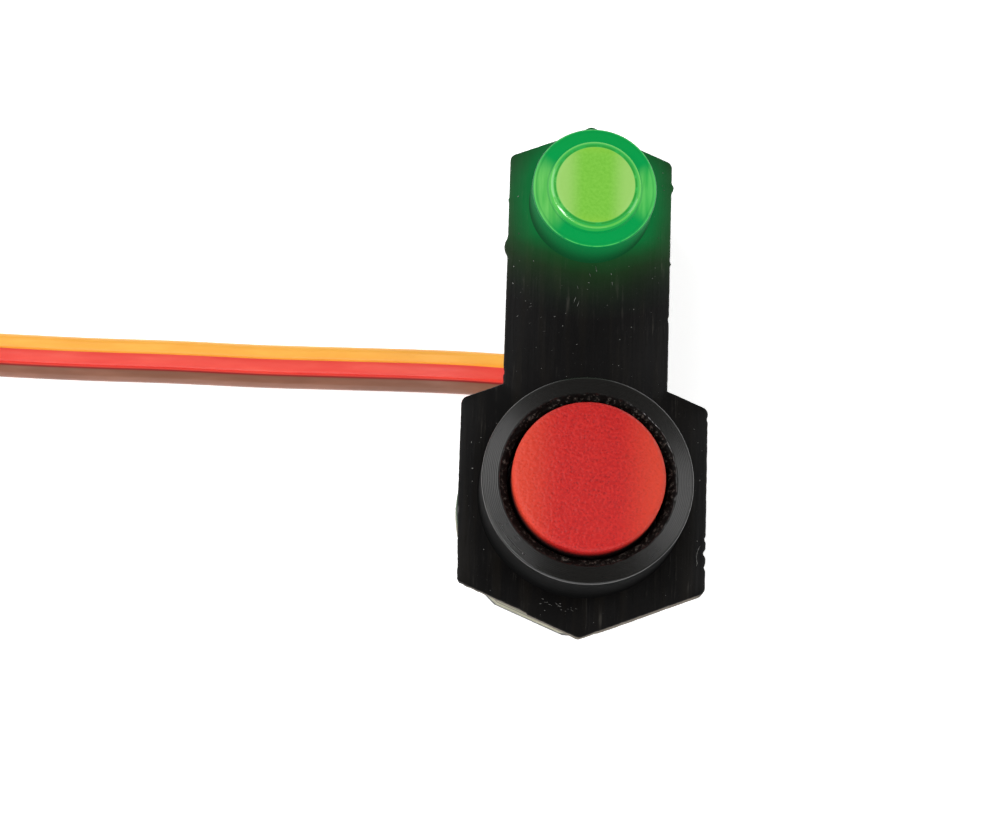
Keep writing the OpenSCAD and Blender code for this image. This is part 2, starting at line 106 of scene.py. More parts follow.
class Term:
    # a shader value; arithmetic on it adds Math nodes
    def __init__(self, finish, socket):
        self.finish, self.socket = finish, socket

    def join(self, operation, *values):
        return self.finish.node("ShaderNodeMath", {"operation": operation}, dict(enumerate(values)))

    def __add__(self, other):
        return self.join("ADD", self, other)

    __radd__ = __add__

    def __sub__(self, other):
        return self.join("SUBTRACT", self, other)

    def __rsub__(self, other):
        return self.join("SUBTRACT", other, self)

    def __mul__(self, other):
        return self.join("MULTIPLY", self, other)

    __rmul__ = __mul__

    def __truediv__(self, other):
        return self.join("DIVIDE", self, other)

    def __pow__(self, other):
        return self.join("POWER", self, other)

    def size(self):
        return self.join("ABSOLUTE", self)

    def over(self, low, high):
        # rises smoothly from 0 at low to 1 at high
        values = {"Value": self, "From Min": low, "From Max": high}
        return self.finish.node("ShaderNodeMapRange", {"interpolation_type": "SMOOTHSTEP"}, values)

    def near(self, middle, reach):
        # 1 at the middle, 0 beyond reach on both sides
        return 1 - (self - middle).size().over(0, reach)

    def ramp(self, *stops):
        return self.finish.node("ShaderNodeValToRGB", {"stops": stops}, {"Fac": self})


class Finish:
    # one material: its shader, its coordinates and the nodes added to it
    def __init__(self, name, **constants):
        self.material = bpy.data.materials.new(name)
        self.material.use_nodes = True
        self.tree = self.material.node_tree
        self.tree.nodes.clear()
        output = self.tree.nodes.new("ShaderNodeOutputMaterial")
        self.shader = self.tree.nodes.new("ShaderNodeBsdfPrincipled")
        self.tree.links.new(self.shader.outputs[0], output.inputs[0])
        self.place = self.node("ShaderNodeTexCoord", output="Object")
        self.set(**constants)

    def node(self, kind, settings=None, values=None, output=0):
        made = self.tree.nodes.new(kind)
        for key, value in (settings or {}).items():
            if key == "stops":
                self.setStops(made.color_ramp, value)
            else:
                setattr(made, key, value)
        for key, value in (values or {}).items():
            self.feed(made.inputs[key], value)
        return Term(self, made.outputs[output])

    def setStops(self, ramp, stops):
        while len(ramp.elements) < len(stops):
            ramp.elements.new(0.5)
        for element, (position, colour) in zip(ramp.elements, stops):
            element.position, element.color = position, colour

    def feed(self, socket, value):
        if isinstance(value, Term):
            self.tree.links.new(value.socket, socket)
        else:
            socket.default_value = value

    def set(self, **values):
        # keys are the shader's own sockets, with _ for a space
        for key, value in values.items():
            self.feed(self.shader.inputs[key.replace("_", " ")], value)

    def axes(self, centre=(0, 0, 0)):
        # x, y and z from the centre, in millimetres
        moved = self.node("ShaderNodeVectorMath", {"operation": "SUBTRACT"}, {0: self.place, 1: centre})
        made = self.tree.nodes.new("ShaderNodeSeparateXYZ")
        self.feed(made.inputs[0], moved)
        return [Term(self, made.outputs[i]) * (1 / mm) for i in range(3)]

    def vector(self, x, y, z):
        return self.node("ShaderNodeCombineXYZ", None, {0: x, 1: y, 2: z})

    def noise(self, scale, detail, rough, stretch=(1, 1, 1), shift=(0, 0, 0)):
        # scale is in cells per millimetre
        values = {"Vector": self.place, "Scale": tuple(s / mm for s in stretch), "Location": shift}
        return self.noiseAt(self.node("ShaderNodeMapping", None, values), scale, detail, rough)

    def noiseAt(self, point, scale, detail, rough):
        values = {"Vector": point, "Scale": scale, "Detail": detail, "Roughness": rough}
        return self.node("ShaderNodeTexNoise", None, values)

    def cells(self, scale):
        # rounded pits, 0 at their middles
        moved = self.node("ShaderNodeMapping", None, {"Vector": self.place, "Scale": (1 / mm,) * 3})
        return self.node("ShaderNodeTexVoronoi", {"feature": "SMOOTH_F1"}, {"Vector": moved, "Scale": scale})

    def mixed(self, share, first, second):
        made = self.tree.nodes.new("ShaderNodeMix")
        made.data_type = "RGBA"
        for index, value in ((0, share), (6, first), (7, second)):
            self.feed(made.inputs[index], value)
        return Term(self, made.outputs[2])

    def layered(self, first, *layers):
        # each layer is a share and the colour that it lays over the ones before
        for share, colour in layers:
            first = self.mixed(share, first, colour)
        return first

    def bumped(self, height, depth):
        # depth is the height of a full step, in millimetres
        return self.node("ShaderNodeBump", None, {"Height": height, "Strength": 1.0, "Distance": depth * mm})


glow = {
    "nearest": 4.8,  # mm from the lamp's axis, where the lens meets the plate
    "reach": 6.4,
    "above": -0.8,  # how much later it fades above the lamp, in mm
    "beside": 0.6,
    "below": 1.9,
    "colours": (
        (0.0, (8, 104, 50)), (0.1, (15, 90, 43)), (0.26, (22, 66, 31)), (0.42, (22, 46, 21)),
        (0.6, (15, 30, 14)), (0.8, (6, 14, 7)), (1.0, (0, 0, 0)),
    ),
}


def lampGlow(finish):
    # painted glow: the lamp's light on the black plastic round it, painted into the plate's emission
    x, y = finish.axes((0, lampY, plateFront))[:2]
    far = (x * x + y * y) ** 0.5
    below = (0 - y) / far
    smoke = finish.noise(0.45, 2, 0.5)
    sooner = below.over(-1, 0.3) * glow["beside"] + below.over(0.4, 1) * glow["below"] + glow["above"]
    share = (far + sooner + smoke * 0.8 - 0.4 - glow["nearest"]) / glow["reach"]
    return share.ramp(*[(place, tint(*colour)) for place, colour in glow["colours"]])


def blackPlate():
    made = Finish("blackPlate", Specular_IOR_Level=0.13)
    y, z = made.axes()[1:]
    lines = made.noise(5.5, 3, 0.6, (1, 0.045, 0.3))  # lengthwise tool marks
    wide = made.noise(1.3, 2, 0.5, (1, 0.06, 0.3), (3, 0, 0))
    smudge = made.noise(0.32, 4, 0.65)
    dusty = made.noise(7, 2, 0.7)
    pale = lines.over(0.56, 0.78) * smudge.over(0.42, 0.7)
    onSide = 1 - (z - plateFront / mm).over(-0.16, -0.06)
    lower = 1 - y.over(-7.6, -7.0)
    colour = made.layered(
        tint(7, 6, 6),
        (wide.over(0.45, 0.7) * 0.6, tint(19, 16, 12)),
        (pale * 0.8, tint(58, 55, 51)),
        (dusty.over(0.68, 0.76) * smudge.over(0.45, 0.6) * 0.4, tint(84, 84, 84)),
        (onSide * 0.8, tint(14, 13, 12)),
        # painted reflection: the plate's lower sides made pale where the floor would reflect in them
        (onSide * lower * 0.8, tint(114, 106, 95)),
    )
    made.set(
        Base_Color=colour,
        Roughness=0.26 + lines * 0.14 + smudge * 0.1 + onSide * 0.5,
        # emission: painted glow of the lamp's light on the plate around the lens
        Emission_Color=lampGlow(made),
        Emission_Strength=1.0,
        Normal=made.bumped(lines * 0.6 + wide * 0.5 + dusty * 0.12, 0.02),
    )
    return made


def turnedBlack():
    # collar: fine rings left by the lathe, a torn inner lip, and painted shade on its outer wall
    made = Finish("turnedBlack", Specular_IOR_Level=0.1, Coat_Roughness=0.25)
    x, y, z = made.axes()
    far = (x * x + y * y) ** 0.5
    rings = made.noiseAt(made.vector(far, 0.0, 0.0), 9, 4, 0.7)
    torn = made.noise(3.2, 5, 0.75)
    patch = made.noise(0.5, 3, 0.6)
    onLip = 1 - (far + torn * 0.7 - 0.35).over(6.58, 6.66)
    onWall = far.over(7.9, 7.94) * (1 - (z - bodyHigh.z / mm).over(-0.55, -0.42))
    colour = made.layered(
        tint(14, 13, 11),
        (rings.over(0.4, 0.7) * 0.4, tint(22, 21, 18)),
        (patch.over(0.45, 0.75) * 0.4, tint(10, 9, 8)),
        (onLip * 0.9, tint(9, 8, 7)),
        (onLip * torn.over(0.54, 0.62) * 0.8, tint(92, 88, 82)),
        # painted shade: the collar's outer wall made near black below its top
        (onWall, tint(4, 4, 4)),
    )
    made.set(
        Base_Color=colour,
        Roughness=0.3 + patch * 0.1 + onLip * 0.2 + onWall * 0.5,
        Coat_Weight=(1 - onWall) * (1 - onLip) * 0.85,
        Normal=made.bumped((rings * 0.25 + onLip * torn * 2.4) * (1 - onWall), 0.03),
    )
    return made


def mouldedBlack(name, shade, grain):
    # shade is the plastic's grey, 0 to 255
    made = Finish(name, Specular_IOR_Level=0.4)
    fine, patch = made.noise(grain, 3, 0.6), made.noise(0.4, 3, 0.6)
    colour = made.layered(
        tint(shade, shade, shade), (patch.over(0.45, 0.7) * 0.6, tint(shade + 10, shade + 9, shade + 8)),
        (fine.over(0.6, 0.75) * 0.3, tint(shade + 26, shade + 26, shade + 26)),
    )
    made.set(Base_Color=colour, Roughness=0.42 + fine * 0.16, Normal=made.bumped(fine, 0.012))
    return made


def redCap():
    # spark-eroded grain: small rounded pits close together
    made = Finish("redCap", Specular_IOR_Level=0.28)
    x, z = made.axes()[::2]
    pits = made.cells(4.4)
    grain = made.noise(4.6, 3, 0.6)
    shaded = 1 - (z - bodyHigh.z / mm).over(-0.9, 0.5)
    patch = made.noise(0.42, 3, 0.55)
    colour = made.layered(
        tint(180, 22, 22),
        (grain.over(0.42, 0.62) * 0.6, tint(208, 38, 32)),
        ((1 - pits.over(0.05, 0.35)) * 0.65, tint(136, 12, 15)),
        (patch.over(0.42, 0.7) * 0.35, tint(194, 32, 27)),
        # painted highlight: the cap lighter towards its left and right edges, where the side lamps would
        # light it
        (x.size().over(1.8, 5.6) * 0.7, tint(216, 70, 44)),
        (shaded, tint(44, 5, 5)),
    )
    made.set(
        Base_Color=colour,
        Roughness=0.4 + grain * 0.14 + shaded * 0.4,
        Normal=made.bumped(grain * 0.6 + pits * 0.9, 0.07),
    )
    return made


def litLens():
    # green plastic lit from inside; it shines more from the disc than from its shoulder. Reflections of the
    # side lamps on the shoulder and the disc, and a highlight on the shoulder's edge, are painted into the
    # same emission
    made = Finish("litLens", Specular_IOR_Level=0.15, Coat_Roughness=0.04)
    x, y, z = made.axes((0, lampY, plateFront))
    far = (x * x + y * y) ** 0.5
    facingLeft = (0 - x * 0.985 - y * 0.17) / far
    facingRight = (x * 0.998 - y * 0.06) / far
    streaks = made.noise(2.4, 2, 0.5, (1, 0.12, 1))
    speckle = made.noise(4.2, 3, 0.6)
    broken = made.noise(1.4, 3, 0.7, (1, 1, 0.1))
    # painted reflections of the left and right lamps on the lens's shoulder
    leftPaintedReflection = made.mixed(streaks.over(0.35, 0.7), tint(84, 184, 80), tint(112, 202, 98))
    rightPaintedReflection = made.mixed(streaks.over(0.35, 0.65), tint(50, 172, 72), tint(94, 198, 94))
    onShoulder = made.layered(
        tint(0, 152, 72),
        (y.over(1.5, 4.4) * 0.5, tint(6, 148, 60)),
        (facingLeft.over(0.7, 0.97), leftPaintedReflection),
        (facingRight.over(0.82, 0.98), rightPaintedReflection),
    )
    disc = made.layered(
        made.mixed(speckle.over(0.3, 0.7), tint(122, 192, 58), tint(134, 202, 68)),
        # painted reflection: the disc lighter towards its left and right edges
        (x.size().over(0.8, 2.5) * 0.85, tint(166, 211, 112)),
        (y.size().over(2.2, 3.1) * 0.6, tint(146, 204, 66)),
    )
    onRing = made.layered(
        made.mixed(0.5, onShoulder, tint(70, 190, 76)),
        (far.near(3.12, 0.13) * broken.over(0.38, 0.52) * 0.85, tint(46, 146, 44)),
        (far.near(3.4, 0.12) * 0.8, tint(112, 214, 84)),
    )
    onWall = made.mixed(z.over(0.0, 4.0), tint(8, 70, 34), tint(0, 118, 58))
    top = made.layered(
        disc,
        (far.over(2.98, 3.06), onRing),
        (far.over(3.49, 3.53), onShoulder),
        (far.near(3.62, 0.12) * 0.45, tint(0, 132, 60)),
        (far.near(4.5, 0.1) * 0.35, tint(6, 132, 60)),
        # painted highlight: a thin bright line on the shoulder's outer edge
        (far.near(4.68, 0.06) * broken.over(0.3, 0.6), tint(84, 206, 100)),
        (far.over(4.69, 4.74), onWall),
    )
    onTop = z.over(3.86, 3.92)
    light = made.mixed(onTop, onWall, top)
    keyed = far.over(3.25, 3.28) * (1 - far.over(3.45, 3.48)) * onTop * broken.over(0.28, 0.38)
    made.set(
        Base_Color=made.mixed(onTop, tint(0, 16, 8), made.mixed(speckle, tint(0, 50, 22), tint(2, 62, 28))),
        Roughness=0.26 + speckle * 0.1 + (1 - onTop) * 0.6,
        Coat_Weight=keyed,
        Emission_Color=light,
        Emission_Strength=0.94,
        Normal=made.bumped((speckle * 0.4 + broken * 0.6) * onTop, 0.004),
    )
    return made


def leadVinyl():
    made = Finish("leadVinyl", Specular_IOR_Level=0.5, Coat_Weight=0.2, Coat_Roughness=0.22)
    across = made.node("ShaderNodeAttribute", {"attribute_name": "across"}, output="Fac")
    along = made.node("ShaderNodeAttribute", {"attribute_name": "along"}, output="Fac")
    drift = made.noiseAt(made.vector(across * 0.8, along * 0.12, 0.0), 1, 3, 0.6)
    drawn = made.noiseAt(made.vector(across * 9, along * 0.25, 0.0), 1, 3, 0.6)
    orange = made.mixed(drift.over(0.35, 0.7), tint(246, 170, 60), tint(252, 182, 72))
    red = made.mixed(drift.over(0.35, 0.7), tint(232, 66, 56), tint(240, 84, 68))
    brown = made.mixed(drift.over(0.35, 0.7), tint(124, 76, 54), tint(142, 92, 70))
    colour = made.layered(
        orange, (across.over(-0.44, -0.4), red), (across.over(0.72, 0.76), brown),
        # painted shade: a dark line in the crease between the red and brown wires
        (across.near(0.72, 0.13) * 0.95, tint(128, 10, 8)),
    )
    made.set(
        Base_Color=colour, Roughness=0.34 + drawn * 0.16, Normal=made.bumped(drawn, 0.012),
        # painted light: emission brightens the lead near the housing, cancelling the shade the housing casts
        # on it
        Emission_Color=made.mixed(along.over(5, 13), colour, tint(0, 0, 0)), Emission_Strength=0.22,
    )
    return made


def laminate():
    # board: pale glass-fibre edges, and green mask on both faces
    made = Finish("laminate", Specular_IOR_Level=0.5)
    z = made.axes((0, 0, (boardLow.z + boardHigh.z) / 2))[2]
    half = (boardHigh.z - boardLow.z) / mm / 2
    layers = made.noise(1.0, 3, 0.6, (0.4, 0.4, 9))
    weave = made.noise(1.6, 2, 0.5)
    glass = made.mixed(layers.over(0.35, 0.65), tint(112, 110, 84), tint(158, 154, 126))
    edge = made.mixed((z.near(0.3, 0.3) + z.near(-0.8, 0.35)) * 0.9, glass, tint(30, 29, 22))
    mask = made.mixed(weave.over(0.35, 0.65), tint(14, 70, 40), tint(20, 86, 48))
    onFace = z.size().over(half - 0.06, half - 0.03)
    made.set(
        Base_Color=made.mixed(onFace, edge, mask), Roughness=0.5 - onFace * 0.2 + layers * 0.1,
        Normal=made.bumped(layers * (1 - onFace) + weave * onFace * 0.3, 0.03),
    )
    return made


def brushed(name, dark, light, rough, stretch=(1, 0.08, 0.3)):
    made = Finish(name, Metallic=1.0)
    lines, patch = made.noise(7, 3, 0.6, stretch), made.noise(0.6, 3, 0.6)
    made.set(
        Base_Color=made.layered(dark, (lines.over(0.3, 0.7), light), (patch.over(0.55, 0.8) * 0.3, dark)),
        Roughness=rough + lines * 0.14 + patch * 0.08, Normal=made.bumped(lines, 0.006),
    )
    return made


def fired(name, dark, light):
    made = Finish(name, Specular_IOR_Level=0.5)
    grains = made.noise(9, 4, 0.7)
    made.set(
        Base_Color=made.mixed(grains.over(0.35, 0.65), dark, light), Roughness=0.3 + grains * 0.3,
        Normal=made.bumped(grains, 0.01),
    )
    return made


def litResin():
    made = Finish("litResin", Specular_IOR_Level=0.5, Transmission_Weight=0.6, IOR=1.5)
    haze = made.noise(1.2, 3, 0.6)
    made.set(
        Base_Color=made.mixed(haze, tint(190, 240, 190), tint(214, 250, 208)), Roughness=0.1 + haze * 0.1,
        Emission_Color=made.mixed(haze, tint(60, 170, 60), tint(90, 200, 80)), Emission_Strength=0.5,
    )
    return made


def litChip():
    made = Finish("litChip")
    fine = made.noise(12, 2, 0.5)
    made.set(
        Base_Color=made.mixed(fine, tint(190, 180, 60), tint(220, 210, 90)), Roughness=0.4 + fine * 0.2,
        Emission_Color=made.mixed(fine, tint(140, 230, 90), tint(200, 255, 140)), Emission_Strength=2.0,
    )
    return made


def paleDust():
    made = Finish("paleDust", Specular_IOR_Level=0.2)
    fine = made.noise(3.0, 2, 0.6)
    made.set(
        Base_Color=made.mixed(fine.over(0.35, 0.75), tint(62, 62, 60), tint(150, 150, 146)),
        Roughness=0.8 + fine * 0.2,
    )
    return made


def paperFloor():
    made = Finish("paperFloor", Specular_IOR_Level=0.1)
    fine = made.noise(0.05, 3, 0.6)
    made.set(
        Base_Color=made.mixed(fine.over(0.3, 0.7), tint(246, 246, 246), tint(250, 250, 250)),
        Roughness=0.85 + fine * 0.1, Emission_Color=tint(255, 255, 255), Emission_Strength=0.6,
    )
    return made


finishes = {
    "plate": blackPlate(),
    "collar": turnedBlack(),
    "housing": mouldedBlack("mouldedHousing", 17, 5.0),
    "cap": redCap(),
    "lens": litLens(),
    "lead": leadVinyl(),
    "board": laminate(),
    "switch": mouldedBlack("switchPlastic", 24, 7.0),
    "plug": mouldedBlack("plugPlastic", 22, 4.0),
    "retainer": mouldedBlack("retainerPlastic", 30, 6.0),
    "screws": brushed("screwSteel", tint(120, 122, 126), tint(176, 178, 182), 0.3, (0.4, 0.4, 1)),
    "steel": brushed("pressedSteel", tint(150, 151, 155), tint(198, 199, 203), 0.25),
    "tin": brushed("tinPlate", tint(160, 158, 148), tint(208, 206, 196), 0.3, (0.3, 0.3, 0.3)),
    "solder": brushed("solderShine", tint(150, 152, 154), tint(206, 208, 210), 0.18, (0.2, 0.2, 0.2)),
    "copper": brushed("strandCopper", tint(170, 104, 66), tint(216, 150, 106), 0.3, (0.4, 0.4, 0.4)),
    "brass": brushed("contactBrass", tint(176, 142, 70), tint(222, 190, 112), 0.26, (0.4, 0.1, 0.4)),
    "resistor": fired("resistorGlaze", tint(20, 20, 24), tint(40, 40, 46)),
    "capacitor": fired("capacitorClay", tint(128, 100, 72), tint(158, 128, 96)),
    "resin": litResin(),
    "chip": litChip(),
    "dust": paleDust(),
    "floor": paperFloor(),
}
print("finishes made:", len(finishes))


def addPiece(name, made, finish, sharp=40, body="housing"):
    # made is a mesh or a bmesh; sharp is the angle, in degrees, above which an edge stays hard
    mesh = meshFrom(made, name) if isinstance(made, bmesh.types.BMesh) else made
    for face in mesh.polygons:
        face.use_smooth = True
    mesh.set_sharp_from_angle(angle=math.radians(sharp))
    mesh.materials.clear()
    mesh.materials.append(finishes[finish].material)
    piece = bpy.data.objects.new(name, mesh)
    bpy.context.scene.collection.objects.link(piece)
    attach(piece, body)
    return piece


def meshFrom(bm, name, merged=True):
    # merged joins the corners that coincide and turns the faces outward
    if merged:
        bmesh.ops.remove_doubles(bm, verts=bm.verts, dist=1e-7)
        bmesh.ops.recalc_face_normals(bm, faces=bm.faces)
    mesh = bpy.data.meshes.new(name)
    bm.to_mesh(mesh)
    bm.free()
    return mesh


# The lead's route up to its coil, as the part has it: x, y, z and the turn of its flat side
lead = {
    "width": 3.5,
    "thickness": 1.15,
    "valley": 0.62,  # height of the groove between two wires, as a share of the half thickness
    "route": (
        (-1.5, 11.4, 1.63, 0), (-5.5, 11.4, 1.63, 0), (-9, 11.5, 1.5, 0), (-13, 11.6, 1.05, 0),
        (-18, 11.6, 0.7, 0), (-25, 11.5, 0.6, 0), (-32, 11.5, 0.6, 0), (-39, 11.4, 0.6, 0),
        (-46, 11.4, 0.65, 0), (-50, 11.4, 1.15, 20), (-54, 11.4, 1.6, 42), (-58, 11.4, 1.85, 65),
        (-62, 11.4, 1.83, 82), (-67, 11.4, 1.76, 90),
    ),
    "coilCentre": (-67, -7.6),
    "coilRadius": 19,
    "coilStep": 1.5,
    "turns": 2,
    "tailRadius": 7.5,
    "turnSteps": 96,
    "tailSteps": 32,
    "plugHalf": 1.25,
    "plugY": -0.6,
    "plugDepth": 2.4,  # how far the wires reach into the plug
    "pitch": 2.54,
    "splitAt": 5.0,  # where the wires part before the plug
    "length": 0.30,
    "step": 0.45,
    "lowest": 0.005,  # it rests this high on the surface, and never in it
}


def between(p, q, r, s, t):
    # a value from q to r on the curve through p, q, r and s
    return 0.5 * (
        2 * q + (r - p) * t + (2 * p - 5 * q + 4 * r - s) * t * t + (3 * q - p - 3 * r + s) * t ** 3
    )


def smoothRoute(points, steps=10):
    # a curve through every point
    made = []
    last = len(points) - 1
    for i in range(last):
        a, b, c, d = (points[max(0, min(last, i + k))] for k in (-1, 0, 1, 2))
        made += [[between(*values, k / steps) for values in zip(a, b, c, d)] for k in range(steps)]
    made.append(list(points[-1]))
    return made


def leadRoute():
    cx, cy = lead["coilCentre"]
    half = lead["width"] / 2
    inner = lead["coilRadius"] - lead["coilStep"] * lead["turns"]
    points = smoothRoute(lead["route"])[:-1]
    steps = lead["turnSteps"] * lead["turns"]
    for k in range(steps):
        a = math.radians(90 + 360 * lead["turns"] * k / steps)
        r = lead["coilRadius"] + (inner - lead["coilRadius"]) * k / steps
        points.append([cx + r * math.cos(a), cy + r * math.sin(a), half, 90])
    tail, steps = lead["tailRadius"], lead["tailSteps"]
    middle = cy + inner - tail
    for k in range(steps + 1):
        a, turn = math.radians(90 + 90 * k / steps), 90 * (1 - k / steps)
        z = half * math.sin(math.radians(turn)) + lead["plugHalf"] * math.cos(math.radians(turn))
        points.append([cx + tail * math.cos(a), middle + tail * math.sin(a), z, turn])
    points.append([cx - tail, lead["plugY"], lead["plugHalf"], 0])
    return points


def evenRoute(points, step):
    # the same route with points about step apart, and the distance along it
    along = [0]
    for a, b in zip(points, points[1:]):
        along.append(along[-1] + math.dist(a[:3], b[:3]))
    count = math.ceil(along[-1] / step)
    made, i = [], 0
    for k in range(count + 1):
        at = along[-1] * k / count
        while i < len(along) - 2 and along[i + 1] < at:
            i += 1
        t = (at - along[i]) / max(1e-9, along[i + 1] - along[i])
        made.append(([p + (q - p) * t for p, q in zip(points[i], points[i + 1])], at))
    return made


def ribbonSection():
    # the upper half from the left wire's side to the right wire's side, and its mirror below
    a, b, third = lead["width"] / 6, lead["thickness"] / 2, lead["width"] / 3
    sides = [[math.radians(t) for t in turns] for turns in (range(0, 90, 18), range(18, 91, 18))]
    top = [(-third - a * math.cos(t), b * math.sin(t)) for t in sides[0]]
    for k in (-1, 0, 1):
        for j in range(-5, 6):
            s = j / 5
            if (k == -1 and s < 0) or (k == 1 and s > 0) or (s == -1 and k > -1):
                continue
            height = lead["valley"] + (1 - lead["valley"]) * math.sqrt(1 - s * s)
            top.append((k * third + a * s, b * height))
    top += [(third + a * math.sin(t), b * math.cos(t)) for t in sides[1]]
    return top + [(x, -y) for x, y in reversed(top[1:-1])]


def sweep(bm, rings, marks):
    # joins rings of points into a closed tube; marks are stored on its corners' points
    layers = bm.verts.layers.float
    across, along = (layers.get(name) or layers.new(name) for name in ("across", "along"))
    rows = []
    for ring, ringMarks in zip(rings, marks):
        row = []
        for point, (u, v) in zip(ring, ringMarks):
            vert = bm.verts.new(point)
            vert[across], vert[along] = u, v
            row.append(vert)
        rows.append(row)
    for low, high in zip(rows, rows[1:]):
        for k in range(len(low)):
            j = (k + 1) % len(low)
            bm.faces.new((low[k], low[j], high[j], high[k]))
    bm.faces.new(rows[0][::-1])
    bm.faces.new(rows[-1])


def crossing(route, i):
    # the directions across the flat lead and out of its flat side, at one point of the route
    here, before, after = route[i][0], route[max(0, i - 1)][0], route[min(len(route) - 1, i + 1)][0]
    run = Vector([q - p for p, q in zip(before[:3], after[:3])])
    side, rise = Vector((-run.y, run.x, 0)).normalized(), Vector((0, 0, 1))
    turn = math.radians(here[3])
    return side * math.cos(turn) + rise * math.sin(turn), rise * math.cos(turn) - side * math.sin(turn)


def makeLead():
    route = evenRoute(leadRoute(), lead["step"])
    whole = route[-1][1]
    section = ribbonSection()
    third = lead["width"] / 3
    rings, marks = [], []
    bm = bmesh.new()
    for i, (here, at) in enumerate(route):
        if at > whole - lead["splitAt"] + 1:
            break
        wide, thick = crossing(route, i)
        ring = [Vector(here[:3]) + wide * u + thick * v for u, v in section]
        low = min(p.z for p in ring)
        if low < lead["lowest"]:
            ring = [p + Vector((0, 0, lead["lowest"] - low)) for p in ring]
        rings.append([p * mm for p in ring])
        marks.append([(u / third, at) for u, v in section])
    sweep(bm, rings, marks)
    # the three wires part and go into the plug's cells
    for k in (-1, 0, 1):
        rings, marks = [], []
        for i, (here, at) in enumerate(route):
            t = (at - whole + lead["splitAt"]) / lead["splitAt"]
            if t < -0.15:
                continue
            t = max(0, min(1, t))
            wide, thick = crossing(route, i)
            offset = k * (third + (lead["pitch"] - third) * t * t * (3 - 2 * t))
            middle = Vector(here[:3]) + wide * offset
            angles = [math.radians(a) for a in range(0, 360, 24)]
            r = lead["thickness"] / 2 * 0.98
            rings.append([(middle + wide * math.cos(a) * r + thick * math.sin(a) * r) * mm for a in angles])
            marks.append([(k, at)] * len(angles))
        inside = [[p + Vector((0, -lead["plugDepth"] * mm, 0)) for p in rings[-1]]]
        sweep(bm, rings + inside, marks + [marks[-1]])
    bmesh.ops.recalc_face_normals(bm, faces=bm.faces)
    piece = addPiece("flatLead", meshFrom(bm, "flatLead", False), "lead", 50)
    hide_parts("lead_ribbon", "lead_coil", "lead_tail")
    path = [[c * mm for c in here[:3]] for here, at in route]
    print("lead laid:", round(whole, 1), "mm")


makeLead()


def faceLoops(node, height, up):
    # outlines of a node's flat faces at one height, longest first
    bm = bmesh.new()
    bm.from_mesh(nodes[node].data)
    bmesh.ops.remove_doubles(bm, verts=bm.verts, dist=2e-6)
    flat = {f for f in bm.faces if f.normal.z * up > 0.99 and abs(f.calc_center_median().z - height) < 2e-5}
    edges = {e for e in bm.edges if sum(f in flat for f in e.link_faces) == 1}
    loops = []
    while edges:
        edge = min(edges, key=lambda e: e.index)
        edges.remove(edge)
        start, here = edge.verts
        loop = [start, here]
        while True:
            following = next((e for e in here.link_edges if e in edges), None)
            if following is None:
                break
            edges.remove(following)
            here = following.other_vert(here)
            if here == start:
                break
            loop.append(here)
        loops.append([Vector(v.co[:2]) for v in loop])
    bm.free()
    loops.sort(key=lambda loop: -sum((a - b).length for a, b in zip(loop, loop[1:])))
    return [anticlockwise(loop) for loop in loops]


def anticlockwise(loop):
    area = sum(a.x * b.y - b.x * a.y for a, b in zip(loop, loop[1:] + loop[:1]))
    return loop if area > 0 else loop[::-1]


def dense(loop, step):
    made = []
    for a, b in zip(loop, loop[1:] + loop[:1]):
        count = max(1, round((b - a).length / step))
        made += [a + (b - a) * k / count for k in range(count)]
    return made


def circle(x, y, radius, count=128):
    turns = (2 * math.pi * k / count for k in range(count))
    return [Vector((x + radius * math.cos(a), y + radius * math.sin(a))) for a in turns]


def drawnIn(loop, distance):
    # the loop with each point moved to its inner side
    made = []
    for i, point in enumerate(loop):
        run = (loop[(i + 1) % len(loop)] - loop[i - 1]).normalized()
        made.append(point + Vector((-run.y, run.x)) * distance)
    return made


def slab(bm, outer, holes, low, high, edge, steps=3, draft=0):
    # a flat piece with rounded rims, and holes with rounded rims; draft draws its lower edge in
    levels = []
    for k in range(steps + 1):
        a = math.pi / 2 * k / steps
        levels.append((low + edge * (1 - math.cos(a)), edge * (1 - math.sin(a))))
    levels += [(low + high - z, moved) for z, moved in reversed(levels)]
    ends = ([], [])
    for loop, sign in [(outer, 1)] + [(hole, -1) for hole in holes]:
        rows = []
        for z, moved in levels:
            taper = draft * (high - z) / (high - low) if sign > 0 else 0
            moves = [(p, moved * sign + taper * min(1, max(0.2, 0.6 - p.x / mm / 6))) for p in loop]
            row = []
            for (point, by), inner in zip(moves, drawnIn(loop, 1)):
                row.append(bm.verts.new((*(point + (inner - point).normalized() * by), z)))
            rows.append(row)
        for a, b in zip(rows, rows[1:]):
            for k in range(len(a)):
                j = (k + 1) % len(a)
                bm.faces.new((a[k], a[j], b[j], b[k]))
        for row, end in zip((rows[0], rows[-1]), ends):
            end += [bm.edges.get((row[k], row[(k + 1) % len(row)])) for k in range(len(row))]
    for end in ends:
        bmesh.ops.triangle_fill(bm, use_beauty=True, edges=end)


def lathe(bm, profile, x=0.0, y=0.0, count=160, wobble=None, ring=False):
    # turns a profile of radius and height; ring closes it on itself
    rows = []
    for radius, z in profile:
        if radius < 1e-7:
            rows.append([bm.verts.new((x, y, z))])
            continue
        row = []
        for k in range(count):
            a = 2 * math.pi * k / count
            outward, upward = wobble(radius, z, a) if wobble else (0, 0)
            r = radius + outward
            row.append(bm.verts.new((x + r * math.cos(a), y + r * math.sin(a), z + upward)))
        rows.append(row)
    for a, b in zip(rows, rows[1:] + (rows[:1] if ring else [])):
        for k in range(count):
            j = (k + 1) % count
            corners = [a[k % len(a)], a[j % len(a)], b[j % len(b)], b[k % len(b)]]
            bm.faces.new(list(dict.fromkeys(corners)))


def inMetres(profile):
    return [(r * mm, z * mm) for r, z in profile]


